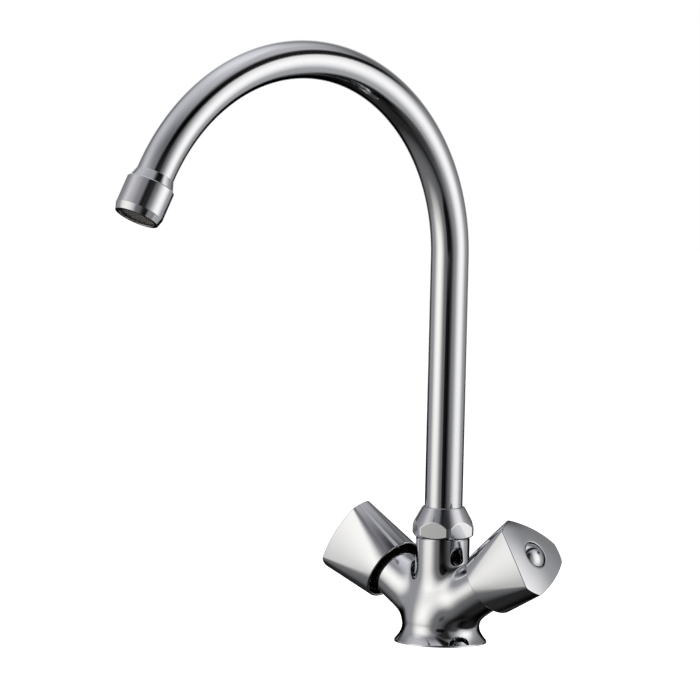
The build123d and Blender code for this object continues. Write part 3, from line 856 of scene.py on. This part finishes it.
def wire_screen(pitch):
    """Square mesh of wires, cut round and held in a rolled rim."""
    middle = (MOUTH_LIP + SCREEN_THICKNESS / 2) * MM
    cells = round(2 * AERATOR_BORE * MM / pitch)
    bpy.ops.object.select_all(action="DESELECT")
    bpy.ops.mesh.primitive_grid_add(x_subdivisions=cells, y_subdivisions=cells, size=cells * pitch)
    wires = bpy.context.object
    wires.name = wires.data.name = "wire_screen"
    place(wires, Matrix.Translation((0, 0, middle)))
    bpy.ops.object.mode_set(mode="EDIT")
    for side in range(SCREEN_SIDES):
        turn = radians(360 / SCREEN_SIDES * side)
        outwards = Vector((cos(turn), sin(turn), 0))
        trim(outwards * (AERATOR_BORE - SCREEN_THICKNESS) * MM, outwards, fill=False)
    bpy.ops.object.mode_set(mode="OBJECT")
    modify(wires, "WIREFRAME", thickness=WIRE_SHARE * pitch, use_even_offset=False)
    rim_bore = AERATOR_BORE - SCREEN_RIM
    rim_top = MOUTH_LIP + SCREEN_THICKNESS
    rim = turned(
        "screen_rim",
        (rim_bore, MOUTH_LIP),
        (AERATOR_BORE, MOUTH_LIP),
        (AERATOR_BORE, rim_top),
        (rim_bore, rim_top),
        closed=True,
    )
    absorb(wires, rim)
    pick(wires)
    bpy.ops.object.shade_smooth_by_angle(angle=radians(40))
    return wires


class FAUCET_OT_nozzle(bpy.types.Operator):
    """Models the flared socket, the aerator's housing and its wire screen"""

    bl_idname = "faucet.nozzle"
    bl_label = "Nozzle"

    def execute(self, context):
        sizes = context.scene.faucet_sizes
        socket = turned(
            "nozzle_flare",
            (TUBE_RADIUS, TUBE_END),
            (TUBE_RADIUS, SOCKET_TOP),
            (SOCKET_TOP_RADIUS, SOCKET_TOP),
            (SOCKET_BOTTOM_RADIUS, HOUSING_LENGTH),
            (NOZZLE_THREAD, HOUSING_LENGTH),
            (NOZZLE_THREAD, NOZZLE_FACE),
            (TUBE_RADIUS - TUBE_WALL, NOZZLE_FACE),
            (TUBE_RADIUS - TUBE_WALL, TUBE_END),
            closed=True,
        )
        soften(socket, sizes.turned_rounding / 2)
        housing = turned(
            "nozzle_housing",
            (NOZZLE_THREAD, HOUSING_LENGTH),
            (HOUSING_RADIUS - HOUSING_CHAMFER, HOUSING_LENGTH),
            (HOUSING_RADIUS, HOUSING_LENGTH - HOUSING_CHAMFER),
            (HOUSING_RADIUS, MOUTH_BAND),
            (MOUTH_RADIUS, 0),
            (MOUTH_HOLE, 0),
            (MOUTH_HOLE, MOUTH_LIP),
            (AERATOR_BORE, MOUTH_LIP),
            (AERATOR_BORE, NOZZLE_FACE),
            (NOZZLE_THREAD, NOZZLE_FACE),
            closed=True,
        )
        soften(housing, sizes.turned_rounding, angle=15)
        screen = wire_screen(sizes.wire_pitch)
        for piece, slot, stands_for in (
            (socket, "spout_chrome", "nozzle_socket"),
            (housing, "spout_chrome", "aerator_housing"),
            (screen, "steel", "aerator_screen"),
        ):
            place(piece, nozzle_frame())
            hand_over(piece, "spout", slot, stands_for)
        return {"FINISHED"}


# ---------------------------------------------------------------- studio
# Camera, fitted to the photograph's perspective: degrees, mm, and pixels of its 700 pixel picture.
CAMERA_AZIMUTH = 39.45
CAMERA_ELEVATION = 5.89
CAMERA_ROLL = -1.33
CAMERA_DISTANCE = 3513.0
CAMERA_CLIP = (0.1, 20)      # metres
FILM_WIDTH = 36.0
AIM_HEIGHT = 160.0
AIM_OFFSET = (97.66, -9.52)  # of that point from the middle of the picture
FOCAL_PIXELS = 6667.0
PICTURE = 700.0

FLOOR_SIZE = 4000.0          # mm
FLOOR_GLOW = 0.9             # share of the floor's white that no shadow takes away

ROOM_LEVEL = 0.03            # what the metal sees of the room round the set
BACKDROP_RISE = 6            # degrees above the level, of the middle of the backdrop in the metal
BACKDROP_REACH = 0.62        # how far from there it fades out, as a share of the distance

# Cards round the faucet that the metal mirrors: azimuth from the camera and elevation in degrees,
# distance in metres, half width and half height as shares of the distance, softness of the edge
# (0 to 1) and level.  Scrims are lights, whose levels add up, each with a colour.  Flags stand
# nearer than the lights and hold them back, down to their level.
CARD_AIM = 150.0             # height that the cards face, mm
CARD_SQUARENESS = 3.0        # 2 is an ellipse, and more comes nearer to a rectangle
SCRIMS = {
    "overhead": (-10, 90, 0.6, 1.3, 0.5, 1.0, 0.7, "#FBFAFF"),
    "overhead left": (-85, 40, 0.6, 1.5, 1.9, 0.25, 0.2, "#F7F7FF"),
    "left wall": (-70, -5, 0.6, 1.8, 1.2, 1.0, 0.25, "#FCFCFF"),
    "left scrim": (-64, 2, 0.65, 0.4, 0.5, 1.0, 1.1, "#FFFCF1"),
    "right wall": (80, -12, 0.6, 1.3, 1.6, 1.0, 0.56, "#FDFDFF"),
    "right scrim": (74, 7, 1.2, 0.4, 0.5, 1.0, 1.0, "#FFFDF8"),
    "far scrim": (170, 20, 3.0, 0.6, 2.2, 0.4, 0.22, "#FBFCFF"),
}
FLAGS = {
    "flag, dark corner": (170, -25, 0.35, 0.4, 0.8, 0.6, 0.08),
    "flag beside the camera": (-5, -10, 0.5, 0.2, 0.2, 0.3, 0.08),
    "flag, boom": (54, 62, 0.35, 1.2, 0.18, 0.5, 0.02),
    "flag, table": (25, -50, 0.35, 0.25, 0.65, 0.5, 0.2),
    "flag, table right": (95, -67, 0.35, 0.65, 0.3, 0.35, 0.05),
    "flag, table behind": (180, -26, 0.35, 1.0, 0.3, 0.35, 0.0),
}


def from_camera(azimuth, elevation):
    """Level direction to the right, and direction outwards, at angles that start at the camera."""
    turn, rise = radians(CAMERA_AZIMUTH + azimuth), radians(elevation)
    outwards = (sin(turn) * cos(rise), -cos(turn) * cos(rise), sin(rise))
    return Vector((cos(turn), sin(turn), 0)), Vector(outwards)


def card_material(name, softness, level, tint=None):
    """Card with a soft edge, which the camera looks through: a scrim of a tint, or else a flag."""
    material = bpy.data.materials.new(name)
    material.use_nodes = True
    tree = material.node_tree
    tree.nodes.clear()
    multiply = {"operation": "MULTIPLY"}
    power = {"operation": "POWER"}
    less = {"operation": "SUBTRACT", "use_clamp": True}
    place_on_card = node(tree, "ShaderNodeTexCoord").outputs["Object"]
    across = node(tree, "ShaderNodeVectorMath", {"operation": "ABSOLUTE"}, _0=place_on_card)
    parts = node(tree, "ShaderNodeSeparateXYZ", Vector=across.outputs[0]).outputs
    powers = [
        node(tree, "ShaderNodeMath", power, _0=part, _1=CARD_SQUARENESS).outputs[0]
        for part in (parts["X"], parts["Y"])
    ]
    total = node(tree, "ShaderNodeMath", _0=powers[0], _1=powers[1]).outputs[0]
    reach = node(tree, "ShaderNodeMath", power, _0=total, _1=1 / CARD_SQUARENESS).outputs[0]
    solid = node(
        tree,
        "ShaderNodeMapRange",
        {"interpolation_type": "SMOOTHSTEP"},
        Value=reach,
        From_Min=1 + softness,
        From_Max=1 - softness,
    ).outputs[0]
    rays = node(tree, "ShaderNodeLightPath").outputs
    shown = node(tree, "ShaderNodeMath", less, _0=solid, _1=rays["Is Camera Ray"]).outputs[0]
    clear = node(tree, "ShaderNodeBsdfTransparent").outputs[0]
    if tint:
        strength = node(tree, "ShaderNodeMath", multiply, _0=shown, _1=level).outputs[0]
        glow = node(tree, "ShaderNodeEmission", Color=linear(tint), Strength=strength).outputs[0]
        card = node(tree, "ShaderNodeAddShader", _0=clear, _1=glow)
    else:
        # a flag leaves the floor's light alone
        shown = node(tree, "ShaderNodeMath", less, _0=shown, _1=rays["Is Diffuse Ray"]).outputs[0]
        held = node(tree, "ShaderNodeMath", multiply, _0=shown, _1=1 - level).outputs[0]
        black = node(tree, "ShaderNodeEmission", Strength=0).outputs[0]
        card = node(tree, "ShaderNodeMixShader", _0=held, _1=clear, _2=black)
    node(tree, "ShaderNodeOutputMaterial", Surface=card.outputs[0])
    return material


def studio_cards():
    """Sets up the scrims and the flags, each facing the middle of the faucet."""
    for name, values in {**SCRIMS, **FLAGS}.items():
        azimuth, elevation, distance, width, height, softness, *looks = values
        right, outwards = from_camera(azimuth, elevation)
        bpy.ops.object.select_all(action="DESELECT")
        bpy.ops.mesh.primitive_plane_add(size=2 * (1 + softness))
        card = bpy.context.object
        card.name = card.data.name = name
        middle = Vector((0, 0, CARD_AIM * MM)) + outwards * distance
        shape = Matrix.Diagonal((distance * width, distance * height, 1, 1))
        card.matrix_world = basis(right, -outwards, middle) @ shape
        card.data.materials.append(card_material(name, softness, *looks))


def studio_world(background):
    """Background that the camera sees, and the metal too where it faces what is behind the faucet.

    The rest of the world is a dim room, as the dark parts in the photo's chrome show.
    """
    world = bpy.data.worlds.new("studio")
    bpy.context.scene.world = world
    world.use_nodes = True
    tree = world.node_tree
    tree.nodes.clear()
    behind = from_camera(180, BACKDROP_RISE)[1]
    looking = node(tree, "ShaderNodeTexCoord").outputs["Generated"]
    apart = node(tree, "ShaderNodeVectorMath", {"operation": "DISTANCE"}, _0=looking, _1=behind)
    backdrop = node(
        tree,
        "ShaderNodeMapRange",
        {"interpolation_type": "SMOOTHSTEP"},
        Value=apart.outputs["Value"],
        From_Min=BACKDROP_REACH,
        From_Max=0.0,
    )
    rays = node(tree, "ShaderNodeLightPath").outputs
    mirror = node(
        tree, "ShaderNodeMath", _0=rays["Is Glossy Ray"], _1=rays["Is Transmission Ray"]
    )
    mirrored = node(
        tree,
        "ShaderNodeMath",
        {"operation": "MULTIPLY"},
        _0=mirror.outputs[0],
        _1=backdrop.outputs[0],
    )
    share = node(tree, "ShaderNodeMath", _0=rays["Is Camera Ray"], _1=mirrored.outputs[0])
    room = node(tree, "ShaderNodeBackground", Color=(1, 1, 1, 1), Strength=ROOM_LEVEL)
    plain = node(tree, "ShaderNodeBackground", Color=background)
    shown = node(
        tree,
        "ShaderNodeMixShader",
        _0=share.outputs[0],
        _1=room.outputs[0],
        _2=plain.outputs[0],
    )
    node(tree, "ShaderNodeOutputWorld", Surface=shown.outputs[0])


def studio_floor(background):
    """Floor that the camera sees in the background's colour, with a faint shadow round the foot."""
    bpy.ops.object.select_all(action="DESELECT")
    bpy.ops.mesh.primitive_plane_add(size=FLOOR_SIZE * MM)
    floor = bpy.context.object
    floor.name = floor.data.name = "floor"
    material = bpy.data.materials.new("pale studio floor")
    material.use_nodes = True
    tree = material.node_tree
    tree.nodes.clear()
    lit = node(tree, "ShaderNodeBsdfDiffuse", Color=background).outputs[0]
    glow = node(tree, "ShaderNodeEmission", Color=background, Strength=FLOOR_GLOW).outputs[0]
    pale = node(tree, "ShaderNodeAddShader", _0=lit, _1=glow).outputs[0]
    unseen = node(tree, "ShaderNodeBsdfTransparent").outputs[0]
    seen = node(tree, "ShaderNodeLightPath").outputs["Is Camera Ray"]
    shown = node(tree, "ShaderNodeMixShader", _0=seen, _1=unseen, _2=pale)
    node(tree, "ShaderNodeOutputMaterial", Surface=shown.outputs[0])
    floor.data.materials.append(material)


def studio_camera():
    """Puts the camera where the photograph was taken from."""
    right, back = from_camera(0, CAMERA_ELEVATION)
    level = Matrix((right, back.cross(right), back)).transposed()
    turn = level @ Matrix.Rotation(radians(-CAMERA_ROLL), 3, "Z")
    aim = Vector((AIM_OFFSET[0], -AIM_OFFSET[1], -FOCAL_PIXELS)) * (CAMERA_DISTANCE / FOCAL_PIXELS)
    station = (Vector((0, 0, AIM_HEIGHT)) - turn @ aim) * MM
    data = bpy.data.cameras.new("camera")
    data.sensor_width = FILM_WIDTH
    data.lens = FILM_WIDTH * FOCAL_PIXELS / PICTURE
    data.clip_start, data.clip_end = CAMERA_CLIP
    camera = bpy.data.objects.new("camera", data)
    camera.matrix_world = Matrix.Translation(station) @ turn.to_4x4()
    bpy.context.scene.collection.objects.link(camera)
    bpy.context.scene.camera = camera


class FAUCET_OT_stage(bpy.types.Operator):
    """Adds the floor, the studio light and the camera"""

    bl_idname = "faucet.stage"
    bl_label = "Stage"

    def execute(self, context):
        background = context.scene.faucet_finishes.background
        studio_world(background)
        studio_cards()
        studio_floor(background)
        studio_camera()
        context.scene.view_settings.view_transform = "Standard"
        return {"FINISHED"}


# ---------------------------------------------------------------- finishes
NOISE_RANGE = (0.35, 0.65)   # where nearly all values of a noise lie


def finish(name, tint, gloss, patches, lumps, depth, metallic=0.0):
    """Material whose roughness and relief vary a little over the piece.

    gloss is the range of the roughness.  patches and lumps are the size in mm and the detail of
    the noises that spread it and that raise the relief, and depth is the relief's in mm.
    """
    material = bpy.data.materials.new(name)
    material.use_nodes = True
    tree = material.node_tree
    shader = tree.nodes["Principled BSDF"].inputs
    shader["Base Color"].default_value = tint
    shader["Metallic"].default_value = metallic
    place_in_piece = node(tree, "ShaderNodeTexCoord").outputs["Object"]
    spread, height = (
        node(
            tree,
            "ShaderNodeTexNoise",
            Vector=place_in_piece,
            Scale=1 / (size * MM),
            Detail=detail,
        ).outputs["Fac"]
        for size, detail in (patches, lumps)
    )
    rough = node(
        tree,
        "ShaderNodeMapRange",
        Value=spread,
        From_Min=NOISE_RANGE[0],
        From_Max=NOISE_RANGE[1],
        To_Min=gloss[0],
        To_Max=gloss[1],
    )
    bump = node(tree, "ShaderNodeBump", Height=height, Distance=depth * MM, Strength=1.0)
    tree.links.new(rough.outputs[0], shader["Roughness"])
    tree.links.new(bump.outputs["Normal"], shader["Normal"])
    return material


def chrome_plate(below, plate, wave_size, wave_depth):
    """Nickel and chrome plate, polished, with waves of a size and a depth in mm.

    The eye sees a mirror with a slightly soft image: the metal below was buffed by hand, so long
    reflections waver a little, and a thin haze of wiping marks changes the gloss here and there.
    """
    return finish(
        f"chrome plate on {below}",
        plate,
        gloss=(0.02, 0.05),
        patches=(9, 4),
        lumps=(wave_size, 1),
        depth=wave_depth,
        metallic=1.0,
    )


def turned_brass(brass):
    """Free-cutting brass, turned: a warm metal with fine tool marks, dulled by handling."""
    return finish(
        "turned brass",
        brass,
        gloss=(0.22, 0.42),
        patches=(4, 3),
        lumps=(0.35, 2),
        depth=0.01,
        metallic=1.0,
    )


def moulded_rubber(rubber):
    """Moulded nitrile rubber: nearly black, matt, with a fine skin from the mould."""
    return finish(
        "moulded rubber", rubber, gloss=(0.5, 0.75), patches=(3, 3), lumps=(0.3, 2), depth=0.02
    )


def lapped_ceramic(ceramic):
    """Alumina discs: white and dense, their lapped faces almost glossy."""
    grain = (0.4, 3)
    return finish(
        "lapped ceramic", ceramic, gloss=(0.18, 0.34), patches=grain, lumps=grain, depth=0.004
    )


def drawn_steel(steel):
    """Stainless wire, clips and screws: a greyer metal than chrome, with a dull grain."""
    grain = (0.6, 3)
    return finish(
        "drawn stainless steel",
        steel,
        gloss=(0.22, 0.45),
        patches=grain,
        lumps=grain,
        depth=0.008,
        metallic=1.0,
    )


def moulded_acetal(plastic):
    """Moulded acetal: black and a little waxy, with a faint grain from the mould."""
    grain = (0.8, 2)
    return finish(
        "moulded acetal", plastic, gloss=(0.38, 0.55), patches=grain, lumps=grain, depth=0.01
    )


def enamel_dot(name, enamel):
    """Drop of enamel: a deep colour under a clear, slightly uneven gloss."""
    flow = (0.9, 1)
    drop = finish(name, enamel, gloss=(0.15, 0.28), patches=flow, lumps=flow, depth=0.02)
    shader = drop.node_tree.nodes["Principled BSDF"].inputs
    shader["Coat Weight"].default_value = 0.6
    shader["Coat Roughness"].default_value = 0.05
    return drop


def paint(piece, material):
    """Gives a piece one material in place of what it had."""
    piece.data.materials.clear()
    piece.data.materials.append(material)


class FAUCET_OT_finishes(bpy.types.Operator):
    """Gives every piece and every frame part its finish"""

    bl_idname = "faucet.finishes"
    bl_label = "Finishes"

    def execute(self, context):
        chosen = context.scene.faucet_finishes
        finishes = {
            "body_chrome": chrome_plate("cast brass", chosen.chrome, 14, 0.012),
            "spout_chrome": chrome_plate("drawn brass", chosen.chrome, 22, 0.006),
            "handle_chrome": chrome_plate("die-cast zinc", chosen.chrome, 16, 0.008),
            "brass": turned_brass(chosen.brass),
            "rubber": moulded_rubber(chosen.rubber),
            "ceramic": lapped_ceramic(chosen.ceramic),
            "steel": drawn_steel(chosen.steel),
            "plastic": moulded_acetal(chosen.plastic),
            "hot_mark": enamel_dot("red enamel", chosen.hot_mark),
            "cold_mark": enamel_dot("blue enamel", chosen.cold_mark),
        }
        for part in frame["record"]["subparts"]:
            paint(frame["nodes"][part["node"]], finishes[part["material_slot"]])
        for piece in context.scene.objects:
            if "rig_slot" in piece:
                paint(piece, finishes[piece["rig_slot"]])
        return {"FINISHED"}


STEPS = (
    FAUCET_OT_casting,
    FAUCET_OT_knobs,
    FAUCET_OT_buttons,
    FAUCET_OT_nut,
    FAUCET_OT_swan_neck,
    FAUCET_OT_nozzle,
    FAUCET_OT_finishes,
    FAUCET_OT_stage,
)


class FAUCET_PT_panel(bpy.types.Panel):
    """Lists the faucet's sizes and colours, and the steps that build it"""

    bl_idname = "FAUCET_PT_panel"
    bl_label = "Two handle faucet"
    bl_space_type = "VIEW_3D"
    bl_region_type = "UI"
    bl_category = "Faucet"

    def draw(self, context):
        for title, group in (
            ("Sizes", context.scene.faucet_sizes),
            ("Colours", context.scene.faucet_finishes),
        ):
            box = self.layout.box()
            box.label(text=title)
            for name in group.bl_rna.properties.keys():
                if name not in ("rna_type", "name"):
                    box.prop(group, name)
        steps = self.layout.column(align=True)
        for operator in STEPS:
            steps.operator(operator.bl_idname)


CLASSES = (FaucetSizes, FaucetFinishes, *STEPS, FAUCET_PT_panel)


def register():
    """Registers the classes, and gives the scene its sizes and colours."""
    for made in CLASSES:
        bpy.utils.register_class(made)
    bpy.types.Scene.faucet_sizes = bpy.props.PointerProperty(type=FaucetSizes)
    bpy.types.Scene.faucet_finishes = bpy.props.PointerProperty(type=FaucetFinishes)


def unregister():
    """Undoes what register does."""
    del bpy.types.Scene.faucet_finishes
    del bpy.types.Scene.faucet_sizes
    for made in reversed(CLASSES):
        bpy.utils.unregister_class(made)


def main():
    """Builds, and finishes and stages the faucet."""
    register()
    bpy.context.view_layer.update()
    for operator in STEPS:
        family, name = operator.bl_idname.split(".")
        getattr(getattr(bpy.ops, family), name)()


if __name__ == "__main__":
    main()
